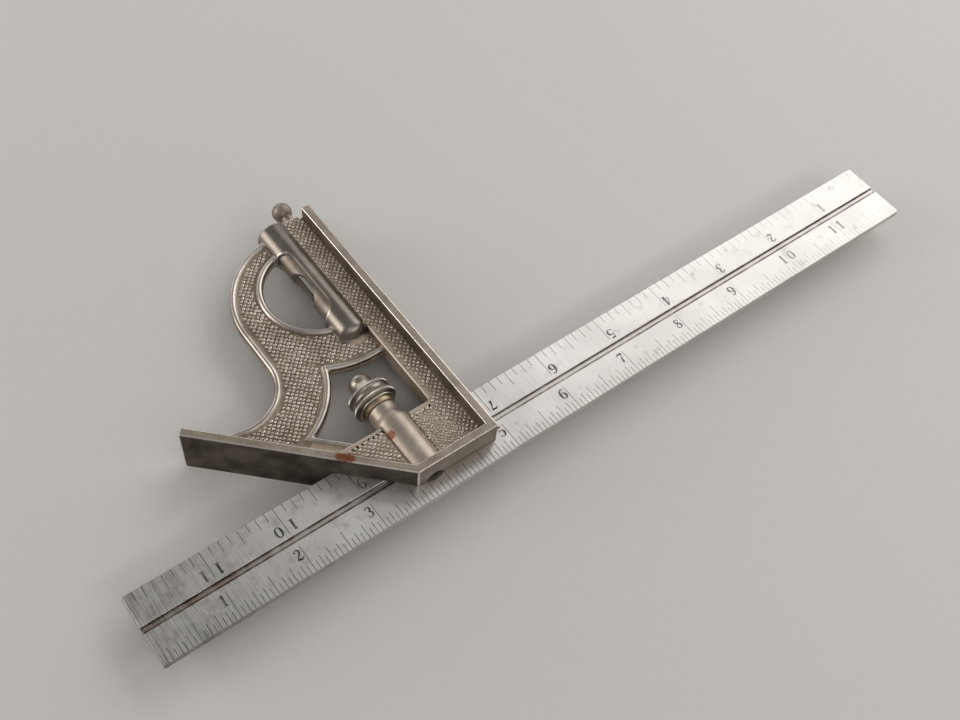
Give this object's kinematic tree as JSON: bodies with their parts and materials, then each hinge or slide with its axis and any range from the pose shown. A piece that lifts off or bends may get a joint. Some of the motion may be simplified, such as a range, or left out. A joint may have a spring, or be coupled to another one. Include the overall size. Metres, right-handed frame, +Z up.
{
  "type": "combination square",
  "caption": "Combination square with a sliding graduated blade in a cast head that has right-angle and mitre faces, a clamp nut, a spirit level and a scriber.",
  "frame": {"origin": "bottom centre of the whole square's box, lying flat on its head's lower edges", "axes": "+X along the blade away from the head's mitre side, +Y across the blade towards the head's scriber end, +Z up out of the blade's grooved face"},
  "size_m": [0.3048, 0.1294, 0.0191],
  "materials": {
    "nickelled_iron": "worn satin nickel over cast iron, stippled web",
    "rule_steel": "satin ground steel with dark engraved lines",
    "nut_steel": "worn plated steel with knurled rims",
    "washer_brass": "dull pale brass",
    "bolt_steel": "turned steel",
    "spring_steel": "drawn wire",
    "tube_steel": "worn plated tube",
    "vial_glass": "clear glass, browned inside",
    "spirit": "yellowish spirit",
    "plaster": "matt plaster",
    "plug_steel": "turned plug",
    "scriber_steel": "hardened steel",
    "ball_steel": "worn plated knob",
    "bush_brass": "split brass"
  },
  "bodies": {
    "head": {"square_head": "nickelled_iron", "nut_washer": "washer_brass", "lock_spring": "spring_steel", "level_tube": "tube_steel", "level_vial": "vial_glass", "vial_spirit": "spirit", "vial_bed_upper": "plaster", "vial_bed_lower": "plaster", "barrel_plug": "plug_steel", "scriber_bush": "bush_brass"},
    "rule": {"blade": "rule_steel"},
    "clamp_nut": {"lock_nut": "nut_steel"},
    "clamp_bolt": {"lock_bolt": "bolt_steel"},
    "scriber": {"scriber_pin": "scriber_steel", "scriber_ball": "ball_steel"}
  },
  "joints": [
    {"name": "blade_slide", "type": "slide", "parent": "head", "child": "rule", "axis": [1, 0, 0], "range_m": [-0.182, 0.091]},
    {"name": "lock_nut_turn", "type": "hinge", "parent": "head", "child": "clamp_nut", "pos_m": [-0.054, -0.02426, 0.00953], "axis": [0, 1, 0], "range_deg": [0, 136]},
    {"name": "lock_bolt_draw", "type": "slide", "parent": "head", "child": "clamp_bolt", "axis": [0, 1, 0], "range_m": [-0.000298, 0]},
    {"name": "scriber_draw", "type": "slide", "parent": "head", "child": "scriber", "axis": [0, 1, 0], "range_m": [0, 0.064]}
  ],
  "couplings": [
    {"joint": "lock_nut_turn", "follows": "lock_bolt_draw", "rad_per_m": -7915.8}
  ]
}
